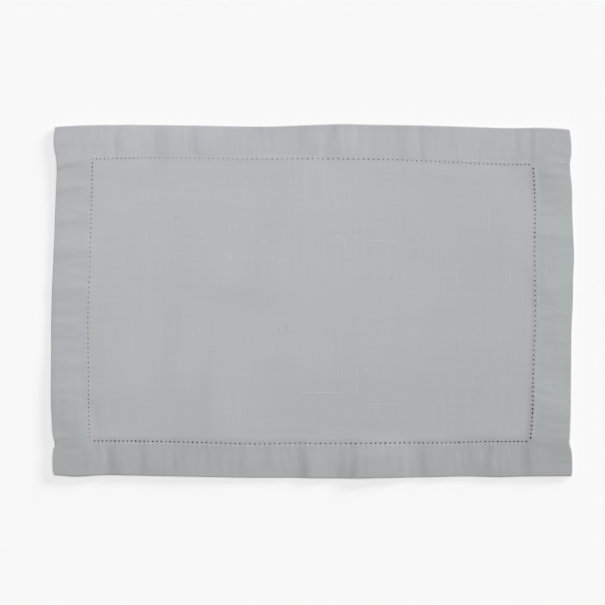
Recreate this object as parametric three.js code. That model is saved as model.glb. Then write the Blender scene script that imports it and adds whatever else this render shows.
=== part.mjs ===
// A hemstitched placemat lying flat.
// It is one rectangular cloth with a wide hem turned under on all four sides, so it is one solid: a thin
// centre panel, a thicker hem round it and square corners where two hems cross. The underside is flat.
// Millimetres, +Z up. The origin is under the middle of the mat, and +X runs along its long side.

import * as THREE from "three";

// Finished size, between the mean lines of opposite edges
const MAT_LENGTH = 476;
const MAT_WIDTH = 322;

// Widths of the hems: across the two short ends, and along the two long sides
const END_HEM_WIDTH = 34.6;
const SIDE_HEM_WIDTH = 31.6;

// Thicknesses of the single cloth, the hem, a corner of two hems and the fold at the outer edge
const PANEL_THICKNESS = 1.0;
const HEM_THICKNESS = 1.8;
const CORNER_THICKNESS = 2.4;
const FOLD_THICKNESS = 1.1;

// Distance over which the cloth rises from the panel to the hem, and over which the outer fold rounds off
const SEAM_RISE = 4;
const FOLD_ROUND = 2.5;

// Part of a hem's width, from its seam, over which a ripple grows to its full height
const RIPPLE_GROWTH = 0.45;

// Longest steps between sections: in the panel, round the seam, in the hem and at the fold
const LONG_PANEL_STEP = 10;
const SHORT_PANEL_STEP = 20;
const SEAM_REACH = 8;
const SEAM_STEP = 4;
const HEM_STEP = 9;
const FOLD_STEP = 1.25;

// Light grey cloth
const CLOTH_COLOUR = 0xb3b5b7;
const CLOTH_ROUGHNESS = 0.9;

// How the four edges stray from their mean lines: along is the place on the edge, from its middle towards
// +X or +Y, and out is how far the cloth reaches past the mean line there. The side hems lie over the end
// hems, and at both ends of each side hem the doubled cloth bulges past a small notch.
const TOP_EDGE = [
  { along: -238, out: -1.6 }, { along: -235, out: -1.0 }, { along: -220, out: 0.2 },
  { along: -178, out: 1.0 }, { along: -128, out: 0.7 }, { along: -84, out: 0.0 },
  { along: -45, out: -0.5 }, { along: -7, out: 0.6 }, { along: 26, out: 1.8 },
  { along: 59, out: 1.1 }, { along: 103, out: 0.4 }, { along: 147, out: -0.9 },
  { along: 180, out: -1.9 }, { along: 217, out: -1.9 }, { along: 231, out: -3.4 },
  { along: 238, out: -4.6 },
];
const BOTTOM_EDGE = [
  { along: -238, out: -2.2 }, { along: -234, out: -1.6 }, { along: -220, out: -0.3 },
  { along: -194, out: -1.7 }, { along: -150, out: -0.8 }, { along: -106, out: -0.1 },
  { along: -62, out: 0.9 }, { along: -18, out: 1.0 }, { along: 26, out: 1.8 },
  { along: 59, out: 1.1 }, { along: 103, out: 0.7 }, { along: 147, out: 0.0 },
  { along: 172, out: 0.4 }, { along: 202, out: -0.4 }, { along: 231, out: -0.4 },
  { along: 238, out: -1.1 },
];
const LEFT_EDGE = [
  { along: -161, out: -1.4 }, { along: -157, out: 0.1 }, { along: -149, out: 0.7 },
  { along: -140, out: 0.2 }, { along: -132, out: -1.7 }, { along: -126, out: -0.7 },
  { along: -118, out: 0.6 }, { along: -105, out: 1.5 }, { along: -54, out: 2.0 },
  { along: -10, out: 1.7 }, { along: 23, out: 0.6 }, { along: 56, out: -0.8 },
  { along: 89, out: -1.9 }, { along: 118, out: -3.0 }, { along: 124, out: -3.4 },
  { along: 131, out: -2.8 }, { along: 140, out: -1.1 }, { along: 150, out: -0.7 },
  { along: 157, out: -1.2 }, { along: 161, out: -1.9 },
];
const RIGHT_EDGE = [
  { along: -161, out: -1.0 }, { along: -157, out: 0.2 }, { along: -148, out: 0.4 },
  { along: -139, out: 0.1 }, { along: -135, out: -0.7 }, { along: -130, out: -2.6 },
  { along: -124, out: -2.2 }, { along: -109, out: -1.5 }, { along: -65, out: -0.8 },
  { along: -21, out: -0.1 }, { along: 1, out: 1.2 }, { along: 23, out: 1.3 },
  { along: 45, out: 2.0 }, { along: 67, out: 1.1 }, { along: 100, out: 0.2 },
  { along: 118, out: -1.6 }, { along: 129, out: -2.2 }, { along: 134, out: -0.8 },
  { along: 142, out: -0.7 }, { along: 151, out: -1.5 }, { along: 161, out: -3.2 },
];

// How the four hemstitched seams stray from straight lines at the hems' mean widths, in the same columns
const TOP_SEAM = [
  { along: -201, out: 1.5 }, { along: -152, out: 2.3 }, { along: -98, out: 2.0 },
  { along: -61, out: 1.5 }, { along: 26, out: 1.5 }, { along: 81, out: 0.6 },
  { along: 127, out: -1.6 }, { along: 163, out: -3.2 }, { along: 203, out: -3.8 },
];
const BOTTOM_SEAM = [
  { along: -201, out: -1.8 }, { along: -148, out: -1.4 }, { along: -103, out: -0.4 },
  { along: -50, out: 1.0 }, { along: -11, out: 0.4 }, { along: 30, out: 0.6 },
  { along: 81, out: 0.1 }, { along: 132, out: -0.1 }, { along: 163, out: -1.1 },
  { along: 203, out: -1.2 },
];
const LEFT_SEAM = [
  { along: -129, out: 0.2 }, { along: -113, out: 1.4 }, { along: -72, out: 1.9 },
  { along: -8, out: 2.3 }, { along: 29, out: 0.8 }, { along: 65, out: -0.2 },
  { along: 93, out: -1.1 }, { along: 129, out: -1.8 },
];
const RIGHT_SEAM = [
  { along: -129, out: -3.6 }, { along: -100, out: -1.5 }, { along: -72, out: -1.0 },
  { along: -45, out: -0.3 }, { along: -17, out: 1.1 }, { along: 19, out: 0.8 },
  { along: 47, out: 0.2 }, { along: 93, out: 0.7 }, { along: 129, out: -1.0 },
];

// Soft ripples that run across the hems. crest is the ripple's place along its hem, before and after are its
// widths on the two sides of the crest, and height is how far the cloth lifts there.
const TOP_RIPPLES = [
  { crest: -178, before: 10, after: 9, height: 0.25 },
  { crest: 27, before: 14, after: 10, height: 0.5 },
  { crest: 105, before: 13, after: 10, height: 0.35 },
  { crest: 196, before: 14, after: 9, height: 0.5 },
];
const BOTTOM_RIPPLES = [
  { crest: -182, before: 12, after: 9, height: 0.45 },
  { crest: -149, before: 11, after: 9, height: 0.45 },
  { crest: -57, before: 14, after: 10, height: 0.25 },
  { crest: -3, before: 15, after: 9, height: 0.6 },
  { crest: 38, before: 15, after: 12, height: 0.5 },
  { crest: 104, before: 13, after: 10, height: 0.35 },
  { crest: 165, before: 14, after: 9, height: 0.45 },
  { crest: 196, before: 11, after: 9, height: 0.45 },
];
const LEFT_RIPPLES = [
  { crest: 84, before: 16, after: 14, height: 0.3 },
  { crest: 45, before: 16, after: 12, height: 0.35 },
  { crest: -24, before: 22, after: 18, height: 0.25 },
];
const RIGHT_RIPPLES = [
  { crest: 62, before: 16, after: 12, height: 0.35 },
  { crest: 4, before: 20, after: 16, height: 0.25 },
  { crest: -30, before: 14, after: 12, height: 0.25 },
];

const { clamp, lerp, smoothstep } = THREE.MathUtils;
const END_EDGE = MAT_LENGTH / 2;
const SIDE_EDGE = MAT_WIDTH / 2;
const END_SEAM = END_EDGE - END_HEM_WIDTH;
const SIDE_SEAM = SIDE_EDGE - SIDE_HEM_WIDTH;

const range = (count) => [...Array(count).keys()];

// A smooth curve through a table's rows, read at any place along the line
function curveThrough(rows) {
  const places = rows.map((row) => row.along);
  const offsets = rows.map((row) => row.out);
  const curve = new THREE.CubicInterpolant(places, offsets, 1);
  return (along) => curve.evaluate(clamp(along, places[0], places.at(-1)))[0];
}

// How far a point of the flat mat is carried sideways by the two edges and two seams that it lies between.
// position is measured across those lines and along beside them.
function strayAcross(position, along, lines) {
  const { lowEdge, lowSeam, highSeam, highEdge, seam, edge } = lines;
  if (position < -seam) {
    return -lerp(lowSeam(along), lowEdge(along), (-position - seam) / (edge - seam));
  }
  if (position > seam) {
    return lerp(highSeam(along), highEdge(along), (position - seam) / (edge - seam));
  }
  return lerp(-lowSeam(along), highSeam(along), (position + seam) / (2 * seam));
}

const LINES_ALONG_Y = {
  lowEdge: curveThrough(LEFT_EDGE),
  lowSeam: curveThrough(LEFT_SEAM),
  highSeam: curveThrough(RIGHT_SEAM),
  highEdge: curveThrough(RIGHT_EDGE),
  seam: END_SEAM,
  edge: END_EDGE,
};
const LINES_ALONG_X = {
  lowEdge: curveThrough(BOTTOM_EDGE),
  lowSeam: curveThrough(BOTTOM_SEAM),
  highSeam: curveThrough(TOP_SEAM),
  highEdge: curveThrough(TOP_EDGE),
  seam: SIDE_SEAM,
  edge: SIDE_EDGE,
};

// Lift of the ripples of one hem: each rises and falls smoothly along the hem, from nothing at the seam
function rippleLift(rows, along, outFromSeam, hemWidth) {
  const growth = smoothstep(outFromSeam, 0, RIPPLE_GROWTH * hemWidth);
  return rows.reduce((lift, row) => {
    const width = along < row.crest ? row.before : row.after;
    return lift + row.height * growth * smoothstep(1 - Math.abs(along - row.crest) / width, 0, 1);
  }, 0);
}

// Height of the mat's upper side at a point of the flat mat
function topHeight(x, y) {
  const endHem = smoothstep(Math.abs(x) - END_SEAM, 0, SEAM_RISE);
  const sideHem = smoothstep(Math.abs(y) - SIDE_SEAM, 0, SEAM_RISE);
  const hemLift = (HEM_THICKNESS - PANEL_THICKNESS) * Math.max(endHem, sideHem);
  const cornerLift = (CORNER_THICKNESS - HEM_THICKNESS) * endHem * sideHem;
  const sideRipples = y > 0 ? TOP_RIPPLES : BOTTOM_RIPPLES;
  const endRipples = x > 0 ? RIGHT_RIPPLES : LEFT_RIPPLES;
  const ripples =
    rippleLift(sideRipples, x, Math.abs(y) - SIDE_SEAM, SIDE_HEM_WIDTH) +
    rippleLift(endRipples, y, Math.abs(x) - END_SEAM, END_HEM_WIDTH);
  const inFromEdge = Math.min(END_EDGE - Math.abs(x), SIDE_EDGE - Math.abs(y));
  const full = PANEL_THICKNESS + hemLift + cornerLift + ripples;
  return lerp(FOLD_THICKNESS, full, smoothstep(inFromEdge, 0, FOLD_ROUND));
}

// Places of the sections across one half of the mat and their mirror images, from edge to edge
function sectionPlaces(seam, edge, panelStep) {
  const zones = [
    { end: seam - SEAM_REACH, step: panelStep },
    { end: seam + SEAM_REACH, step: SEAM_STEP },
    { end: edge - FOLD_ROUND, step: HEM_STEP },
    { end: edge, step: FOLD_STEP },
  ];
  const places = [];
  let start = 0;
  for (const zone of zones) {
    const count = Math.ceil((zone.end - start) / zone.step);
    for (let i = 1; i <= count; i += 1) {
      places.push(lerp(start, zone.end, i / count));
    }
    start = zone.end;
  }
  return [...places.map((place) => -place).reverse(), 0, ...places];
}

// The closed solid: a grid of upper points, the same grid laid flat below it, and a wall round the outline
function matGeometry() {
  const columns = sectionPlaces(END_SEAM, END_EDGE, LONG_PANEL_STEP);
  const rows = sectionPlaces(SIDE_SEAM, SIDE_EDGE, SHORT_PANEL_STEP);
  const upper = [];
  const lower = [];
  for (const y of rows) {
    for (const x of columns) {
      const planX = x + strayAcross(x, y, LINES_ALONG_Y);
      const planY = y + strayAcross(y, x, LINES_ALONG_X);
      upper.push(planX, planY, topHeight(x, y));
      lower.push(planX, planY, 0);
    }
  }
  const layer = columns.length * rows.length;
  const lastColumn = columns.length - 1;
  const lastRow = rows.length - 1;
  const point = (column, row) => row * columns.length + column;
  const faces = [];
  for (let row = 0; row < lastRow; row += 1) {
    for (let column = 0; column < lastColumn; column += 1) {
      const a = point(column, row);
      const b = point(column + 1, row);
      const c = point(column + 1, row + 1);
      const d = point(column, row + 1);
      faces.push(a, b, c, a, c, d);
      faces.push(layer + a, layer + c, layer + b, layer + a, layer + d, layer + c);
    }
  }
  const outline = [
    ...range(lastColumn).map((i) => point(i, 0)),
    ...range(lastRow).map((i) => point(lastColumn, i)),
    ...range(lastColumn).map((i) => point(lastColumn - i, lastRow)),
    ...range(lastRow).map((i) => point(0, lastRow - i)),
  ];
  outline.forEach((here, i) => {
    const next = outline[(i + 1) % outline.length];
    faces.push(layer + here, layer + next, next, layer + here, next, here);
  });
  const geometry = new THREE.BufferGeometry();
  geometry.setAttribute("position", new THREE.Float32BufferAttribute([...upper, ...lower], 3));
  geometry.setIndex(faces);
  return geometry;
}

// Puts the middle of the mat's outline over the origin, with the underside on the ground
function centredOnOrigin(geometry) {
  geometry.computeBoundingBox();
  const middle = geometry.boundingBox.getCenter(new THREE.Vector3());
  geometry.translate(-middle.x, -middle.y, 0);
  geometry.computeVertexNormals();
  return geometry;
}

const clothMaterial = new THREE.MeshStandardMaterial({
  color: CLOTH_COLOUR,
  roughness: CLOTH_ROUGHNESS,
  metalness: 0,
});

const matCloth = new THREE.Mesh(centredOnOrigin(matGeometry()), clothMaterial);
matCloth.name = "mat_cloth";

const placemat = new THREE.Group();
placemat.add(matCloth);

export default placemat;
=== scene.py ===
# %% [markdown]
# # A hemstitched placemat
#
# The mat is one rectangle of plain-woven cloth. Its four sides are turned under as wide hems, and a row
# of hemstitch holds each hem's inner edge: the needle pushes the yarns apart and the thread ties them
# into bars, so that a line of small holes runs round the panel. This notebook cuts the cloth, folds it
# as the maker does, stitches it, and lights it from above.

# %% Load the frame
import math

import bpy
import numpy as np
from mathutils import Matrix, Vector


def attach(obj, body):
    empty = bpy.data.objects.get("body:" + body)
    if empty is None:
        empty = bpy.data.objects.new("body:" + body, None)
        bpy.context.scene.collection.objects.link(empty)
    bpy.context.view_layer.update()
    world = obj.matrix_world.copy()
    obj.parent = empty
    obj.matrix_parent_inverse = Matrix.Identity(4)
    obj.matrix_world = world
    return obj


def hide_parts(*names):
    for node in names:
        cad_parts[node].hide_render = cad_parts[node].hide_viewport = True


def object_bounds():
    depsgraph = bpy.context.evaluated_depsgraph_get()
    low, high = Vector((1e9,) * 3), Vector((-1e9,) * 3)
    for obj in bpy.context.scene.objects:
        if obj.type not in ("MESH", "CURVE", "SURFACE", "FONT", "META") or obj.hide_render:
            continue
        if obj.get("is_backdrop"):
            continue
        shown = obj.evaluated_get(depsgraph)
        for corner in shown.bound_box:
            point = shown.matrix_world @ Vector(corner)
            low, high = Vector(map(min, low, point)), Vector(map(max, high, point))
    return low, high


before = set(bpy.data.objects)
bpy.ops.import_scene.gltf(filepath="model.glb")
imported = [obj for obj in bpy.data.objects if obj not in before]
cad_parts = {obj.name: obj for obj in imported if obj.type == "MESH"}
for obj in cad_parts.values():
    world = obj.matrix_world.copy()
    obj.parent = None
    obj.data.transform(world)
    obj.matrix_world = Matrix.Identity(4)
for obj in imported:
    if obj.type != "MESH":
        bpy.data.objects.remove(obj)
cad_low, cad_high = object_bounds()
print("solid mat, in millimetres:", np.round((np.array(cad_high) - cad_low) * 1000, 1))

# %% [markdown]
# ## Sizes and outline
#
# A cloth lying on a table is never quite square. Each edge and each seam gets a short table of how far
# it strays from its mean line, measured at the places where it bends. One could sculpt it by hand,
# but a table with a smooth curve through it can be corrected one place at a time, and it bends the
# seams, the stitches and the weave all together.

# %% Sizes of the finished mat, in millimetres
END_EDGE, SIDE_EDGE = 238.0, 161.0
END_SEAM, SIDE_SEAM = 203.4, 129.4
CLOTH = 0.34
HALF = CLOTH / 2
print(f"finished {2 * END_EDGE:.0f} x {2 * SIDE_EDGE:.0f} mm, "
      f"hems {END_EDGE - END_SEAM:.1f} and {SIDE_EDGE - SIDE_SEAM:.1f} mm wide")

# %% How the edges stray: place along the edge, and distance outwards
TOP_EDGE = [
    (-238, -1.1), (-235, -0.8), (-220, 0.1), (-178, 1.0), (-128, 0.7), (-84, 0.0), (-45, -0.5),
    (-7, 0.6), (26, 1.7), (59, 1.1), (103, 0.4), (147, -0.9), (180, -1.9), (217, -2.0), (231, -2.8),
    (238, -3.7),
]
BOTTOM_EDGE = [
    (-238, -2.6), (-234, -2.4), (-220, -1.3), (-194, -2.5), (-150, -1.8), (-106, -1.0), (-62, -0.1),
    (-18, 0.1), (26, 0.7), (59, 0.2), (103, -0.3), (147, -1.1), (172, -0.6), (202, -1.4), (231, -1.6),
    (238, -1.7),
]
LEFT_EDGE = [
    (-161, -1.2), (-157, -0.4), (-149, 0.0), (-141, -0.4), (-137, -0.9), (-132.5, -3.0), (-129, -1.9),
    (-125.5, -0.7), (-118, 0.2), (-105, 0.9), (-54, 1.2), (-10, 1.0), (23, -0.2), (56, -1.6),
    (89, -2.7), (118, -3.8), (124, -3.9), (131, -3.2), (140, -1.6), (150, -1.2), (157, -1.8),
    (161, -2.3),
]
RIGHT_EDGE = [
    (-161, -0.2), (-157, 0.3), (-148, 0.3), (-141, -0.1), (-136, -0.9), (-131, -2.9), (-127, -2.3),
    (-122, -1.9), (-109, -1.5), (-65, -0.8), (-21, -0.2), (1, 0.9), (23, 1.2), (45, 2.0), (67, 1.1),
    (85, 0.4), (108, -0.1), (116, -0.8), (122, -1.6), (128, -1.9), (131, -2.9), (135, -1.3),
    (142, -0.7), (151, -0.9), (161, -2.2),
]
print("edge tables:", len(TOP_EDGE), len(BOTTOM_EDGE), len(LEFT_EDGE), len(RIGHT_EDGE), "rows")

# %% How the hemstitched seams stray, in the same columns
TOP_SEAM = [
    (-201, 1.5), (-152, 2.3), (-98, 2.0), (-61, 1.5), (26, 1.5), (81, 0.6), (127, -1.6), (163, -3.2),
    (203, -3.8),
]
BOTTOM_SEAM = [
    (-201, -1.8), (-148, -1.4), (-103, -0.4), (-50, 1.0), (-11, 0.4), (30, 0.6), (81, 0.1), (132, -0.1),
    (163, -1.1), (203, -1.2),
]
LEFT_SEAM = [
    (-129, 0.2), (-113, 1.4), (-72, 1.9), (-8, 2.3), (29, 0.8), (65, -0.2), (93, -1.1), (129, -1.8),
]
RIGHT_SEAM = [
    (-129, -3.6), (-100, -1.5), (-72, -1.0), (-45, -0.3), (-17, 1.1), (19, 0.8), (47, 0.2), (93, 0.7),
    (129, -1.0),
]
print("seam tables:", len(TOP_SEAM), len(BOTTOM_SEAM), len(LEFT_SEAM), len(RIGHT_SEAM), "rows")


# %% A smooth curve through a table
def curve_through(rows):
    """Between two rows the curve is a cubic that leaves the first row and meets the second with the
    slopes that the neighbouring rows give; beyond the last row it keeps that row's value."""
    places, values = np.array(rows, float).T
    slopes = np.gradient(values, places)

    def read(along):
        along = np.clip(along, places[0], places[-1])
        row = np.clip(np.searchsorted(places, along) - 1, 0, len(places) - 2)
        gap = places[row + 1] - places[row]
        t = (along - places[row]) / gap
        start = (1 + 2 * t) * (1 - t) ** 2 * values[row] + t * (1 - t) ** 2 * gap * slopes[row]
        end = t**2 * (3 - 2 * t) * values[row + 1] + t**2 * (t - 1) * gap * slopes[row + 1]
        return start + end

    return read


ACROSS_X = [curve_through(rows) for rows in (LEFT_EDGE, LEFT_SEAM, RIGHT_SEAM, RIGHT_EDGE)]
ACROSS_Y = [curve_through(rows) for rows in (BOTTOM_EDGE, BOTTOM_SEAM, TOP_SEAM, TOP_EDGE)]
print("top edge at the middle strays", round(float(ACROSS_Y[3](0.0)), 2), "mm")


# %% Carry a point of the straight mat to its place on the real one
def stray(place, beside, lines, seam, edge):
    """The distance a point moves across: the strays of the two lines that it lies between, edge and
    seam or seam and seam, mixed in proportion to how near it is to each. The low lines stray towards
    minus."""
    low_edge, low_seam, high_seam, high_edge = (line(beside) for line in lines)
    strays = [-low_edge, -low_seam, high_seam, high_edge]
    stops = np.array([-edge, -seam, seam, edge])
    zone = np.clip(np.searchsorted(stops, place) - 1, 0, 2)
    share = np.clip((place - stops[zone]) / (stops[zone + 1] - stops[zone]), 0, 1)
    return (1 - share) * np.choose(zone, strays[:3]) + share * np.choose(zone, strays[1:])


def as_it_lies(x, y):
    """x and y, each moved by the stray of the lines that run the other way."""
    return (x + stray(x, y, ACROSS_X, END_SEAM, END_EDGE), y + stray(y, x, ACROSS_Y, SIDE_SEAM, SIDE_EDGE))


top_right = as_it_lies(np.array(END_EDGE), np.array(SIDE_EDGE))
print("top right corner lies at", [round(float(value), 1) for value in top_right])

# %% [markdown]
# ## How high the cloth stands
#
# The panel is a single cloth on the table. A hem is two layers with a turned-in edge between them at
# the seam, and a corner is a hem folded into another hem, so it is the thickest place. A hair of air
# parts the layers of a corner, so that no two share a surface. The upper layer climbs those steps. Over
# this lie the folds left by wear and ironing: a hem that is a little too long for its seam buckles into
# ripples, and the panel keeps long soft swells. They could be left to a bump texture, but then they
# would vanish from the mesh and cast no shade, so they are heights, each one listed in a table.

# %% Heights of the layers, in millimetres
AIR = 0.02
STACK_STEP = CLOTH + AIR
SEAM_LIFT, HEM_LIFT, CORNER_LIFT = 0.42, 2 * CLOTH, 3 * STACK_STEP
PANEL_CLIMB, HEM_CLIMB = (-110, -1), (1, 26)
GROOVE, GROOVE_WIDTH = 0.03, 1.8
UNDER_REACH = 1.3
SLOW_RUN, QUICK_RUN = 60, 34


def smooth_step(value, start, end):
    """0 before start, 1 after end, and an S-shaped cubic between them."""
    t = np.clip((value - start) / (end - start), 0, 1)
    return t * t * (3 - 2 * t)


def hem_lift(out):
    """Height gained across one seam: a long slow climb of the panel up to the stitches, another to the
    full hem, and a bell-shaped groove where the stitches pull. out is the distance outwards from the
    seam."""
    to_seam = SEAM_LIFT * smooth_step(out, *PANEL_CLIMB)
    to_hem = (HEM_LIFT - SEAM_LIFT) * smooth_step(out, *HEM_CLIMB)
    return to_seam + to_hem - GROOVE * np.exp(-((out / GROOVE_WIDTH) ** 2))


def over_hem(out, run=SLOW_RUN):
    """0 well inside a seam and 1 from where the hem's under layer starts: how far a cloth that crosses
    the hem has climbed on to it, over a run of so many millimetres."""
    return smooth_step(out, -run, -UNDER_REACH)


def top_height(x, y):
    """Middle of the upper layer: half the cloth, plus the climb over the end hem and the side hem,
    whose fourth powers add so that the higher one wins, plus the rest of the climb where two hems
    cross, which is slow along each hem and quick across it."""
    end_out, side_out = np.abs(x) - END_SEAM, np.abs(y) - SIDE_SEAM
    one_hem = (hem_lift(end_out) ** 4 + hem_lift(side_out) ** 4) ** 0.25
    along_end = over_hem(end_out) * over_hem(side_out, QUICK_RUN)
    along_side = over_hem(end_out, QUICK_RUN) * over_hem(side_out)
    return HALF + one_hem + np.maximum(along_end, along_side) * (CORNER_LIFT - one_hem)


print(f"upper side of the hem {2 * HALF + HEM_LIFT:.2f} mm, of a corner {2 * HALF + CORNER_LIFT:.2f} mm")

# %% Folds of the side hems: crest from x, y to x, y, width of its lower left and upper right flank, height
TOP_FOLDS = [
    (-237, 161, -219, 162, 5, 20, 0.15), (-179, 131, -180, 148, 3, 12, 0.22),
    (-171, 138, -171, 156, 10, 20, 0.34), (-135, 134, -134, 160, 12, 26, 0.36),
    (-104, 142, -102, 162, 10, 24, 0.34), (0, 164, -2, 150, 15, 34, 0.5),
    (24, 134, 25, 160, 13, 30, 0.7), (87, 136, 86, 160, 11, 16, 0.22), (104, 132, 103, 160, 5, 10, 0.2),
    (113, 141, 113, 158, 8, 16, 0.2), (134, 131, 134, 142, 7, 5, 0.12),
    (140, 150, 142, 162, 22, 18, 0.2), (163, 132, 161, 148, 4, 14, 0.08),
    (198, 162, 196, 134, 12, 70, 0.36), (205, 131, 205, 160, 3, 70, 0.5),
    (222, 134, 222, 160, 16, 60, 0.4), (244, 140, 244, 160, 26, 10, 0.7),
    (222, 131, 237, 131, 3, 3, 0.1), (-44, 167, 130, 167, 18, 8, 0.5),
]
BOTTOM_FOLDS = [
    (-206, -132, -206, -161, 120, 20, 0.7), (-175, -134, -175, -160, 12, 30, 0.42),
    (-181, -140, -184, -149, 5, 8, 0.12), (-176, -151, -176, -160, 7, 9, 0.15),
    (-150, -130, -149, -160, 8, 30, 0.34), (-111, -130, -120, -154, 10, 30, 0.3),
    (-57, -130, -60, -150, 8, 14, 0.22), (-33, -130, -34, -150, 8, 9, 0.18),
    (-1, -131, -1, -161, 10, 30, 0.62), (-2, -150, -2, -161, 9, 16, 0.2),
    (34, -152, 34, -161, 12, 40, 0.55), (62, -131, 52, -161, 22, 40, 0.9),
    (48, -134, 45, -158, 11, 60, 0.45), (41, -136, 40, -152, 5, 8, 0.12),
    (82, -132, 82, -161, 30, 18, 0.3), (109, -131, 110, -158, 10, 34, 0.38),
    (152, -132, 151, -158, 7, 8, 0.2), (172, -130, 169, -148, 8, 30, 0.5),
    (160, -152, 160, -161, 7, 20, 0.32), (204, -132, 203, -161, 5, 40, 0.3),
    (-128, -168, -34, -168, 6, 18, 0.3),
]
print("folds of the side hems:", len(TOP_FOLDS), "and", len(BOTTOM_FOLDS))

# %% Folds of the end hems and soft swells of the panel, in the same columns
LEFT_FOLDS = [
    (-238, 122, -226, 125, 3, 14, 0.36), (-218, 126, -206, 127, 3, 14, 0.2),
    (-238, 103, -216, 104, 8, 14, 0.24), (-237, 71, -208, 78, 9, 14, 0.2),
    (-237, 43, -207, 47, 9, 20, 0.3), (-227, 43, -220, 44, 4, 6, 0.08),
    (-236, 10, -208, 11, 14, 18, 0.28), (-234, -26, -216, -25, 12, 14, 0.08),
    (-236, -57, -208, -57, 14, 8, 0.16), (-214, -80, -206, -80, 7, 8, 0.14),
    (-226, -113, -208, -113, 7, 12, 0.12), (-236, -127, -226, -127, 4, 6, 0.16),
    (-233, 60, -234, -122, 4, 3, 0.05),
]
RIGHT_FOLDS = [
    (207, 121, 222, 120, 4, 24, 0.14), (206, 66, 238, 64, 5, 6, 0.1), (208, 65, 238, 64, 18, 20, 0.22),
    (205, 7, 214, 9, 9, 24, 0.26), (216, 11, 236, 15, 8, 24, 0.15), (206, -28, 224, -28, 5, 4, 0.1),
    (206, -50, 212, -50, 8, 10, 0.15), (206, -88, 212, -88, 14, 24, 0.15),
    (226, -103, 238, -102, 11, 10, 0.12), (206, -98, 214, -99, 30, 40, 0.5),
    (262, -60, 244, -124, 40, 20, 0.9),
]
PANEL_FOLDS = [
    (-16, 98, -32, 36, 32, 80, 0.55), (-92, 18, -60, 16, 26, 60, 0.4),
    (-110, -18, -116, -60, 30, 120, 0.5), (-78, -66, -98, -106, 28, 120, 0.5),
    (204, 92, 204, 126, 6, 6, 0.12), (-68, 130, -30, 130, 4, 4, 0.1),
    (-203, -126.5, 203, -126.5, 3, 60, 0.2), (150, -123, 200, -123, 5, 25, 0.1),
    (204, 20, 204, -128, 4, 70, 0.2), (204, -85, 204, -128, 6, 90, 0.15),
    (-190, -98, -188, -124, 14, 120, 0.4), (-152, -84, -140, -120, 50, 120, 0.6),
    (-203, 136, 140, 136, 36, 90, 0.6), (0, -62, 140, -56, 62, 110, 0.7),
    (-230, -84, -196, -84, 32, 70, 0.6), (150, 112, 192, 72, 100, 34, 0.4),
    (-88, -78, -92, -118, 14, 60, 0.3),
]
HEM_FOLDS = TOP_FOLDS + BOTTOM_FOLDS + LEFT_FOLDS + RIGHT_FOLDS
print("folds of the end hems:", len(LEFT_FOLDS), "and", len(RIGHT_FOLDS))
print("swells of the panel:", len(PANEL_FOLDS))

# %% Height of the folds
TINY = 1e-9


def fold_lift(rows, x, y):
    """Each fold is a ridge along a straight crest. It falls as an S-shaped cubic of the distance to the
    crest, over one width straight down its lower left flank, another down its upper right one, and a
    width between the two round its ends."""
    lift = np.zeros_like(x)
    for x0, y0, x1, y1, lower_left, upper_right, height in rows:
        run_x, run_y = x1 - x0, y1 - y0
        run = math.hypot(run_x, run_y)
        towards = math.copysign(1 / run, run_x - run_y)
        t = np.clip(((x - x0) * run_x + (y - y0) * run_y) / run**2, 0, 1)
        off_x, off_y = x - x0 - t * run_x, y - y0 - t * run_y
        away = np.hypot(off_x, off_y) + TINY
        flank = towards * (off_y * run_x - off_x * run_y) / away
        width = lower_left + (upper_right - lower_left) * (1 + flank) / 2
        lift += height * smooth_step(1 - away / width, 0, 1)
    return lift


print("the tallest hem fold rises", max(row[-1] for row in HEM_FOLDS), "mm")

# %% Fine puckers of the hems
PUCKERS, PUCKER_HEIGHT = 14, 0.011
PUCKER_LENGTHS, PUCKER_LEAN = (6, 16), 0.35
FOLD_FADE, PUCKER_FADE, CORNER_FADE = (-12, 14), (0, 5), (0, 4)
PUCKER_SEED = 3
pucker_dice = np.random.default_rng(PUCKER_SEED)
pucker_length = pucker_dice.uniform(*PUCKER_LENGTHS, PUCKERS)
pucker_lean = pucker_dice.uniform(-PUCKER_LEAN, PUCKER_LEAN, PUCKERS)
pucker_start = pucker_dice.uniform(0, 2 * np.pi, PUCKERS)


def pucker_lift(along, out):
    """A sum of sine waves that run along the hem, each with its own length, lean and start."""
    lift = np.zeros_like(along)
    for length, lean, start in zip(pucker_length, pucker_lean, pucker_start):
        lift += np.sin(2 * np.pi * (along + lean * out) / length + start)
    return PUCKER_HEIGHT * lift


def wave_height(x, y):
    """What lifts all layers together: the panel's swells, the hem folds, which fade out over the seam
    into the panel, and the puckers beyond the seam."""
    end_out, side_out = np.abs(x) - END_SEAM, np.abs(y) - SIDE_SEAM
    hem_folds = fold_lift(HEM_FOLDS, x, y)
    puckers = np.where(side_out > end_out, pucker_lift(x, y), pucker_lift(y, x))
    out = np.maximum(end_out, side_out)
    on_hem = smooth_step(out, *PUCKER_FADE) * smooth_step(np.abs(side_out - end_out), *CORNER_FADE)
    return fold_lift(PANEL_FOLDS, x, y) + smooth_step(out, *FOLD_FADE) * hem_folds + on_hem * puckers


print(f"puckers are {pucker_length.min():.0f} to {pucker_length.max():.0f} mm long")

# %% [markdown]
# ## Folding the cloth
#
# The maker folds the two short ends under first and the two long sides over them, so a corner shows the
# end hem's fold inside the side hem's. The same order works in numbers: walk out from the middle of the
# cut cloth to the fold line, go half round the fold, and walk back underneath. Doing this first along
# the cloth and then across it gives every layer of every corner from one formula. A simpler box with a
# rounded rim would look the same from straight above but would show no folds from the side.

# %% Walk along the cut cloth
FOLD = HEM_LIFT / 2


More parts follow.
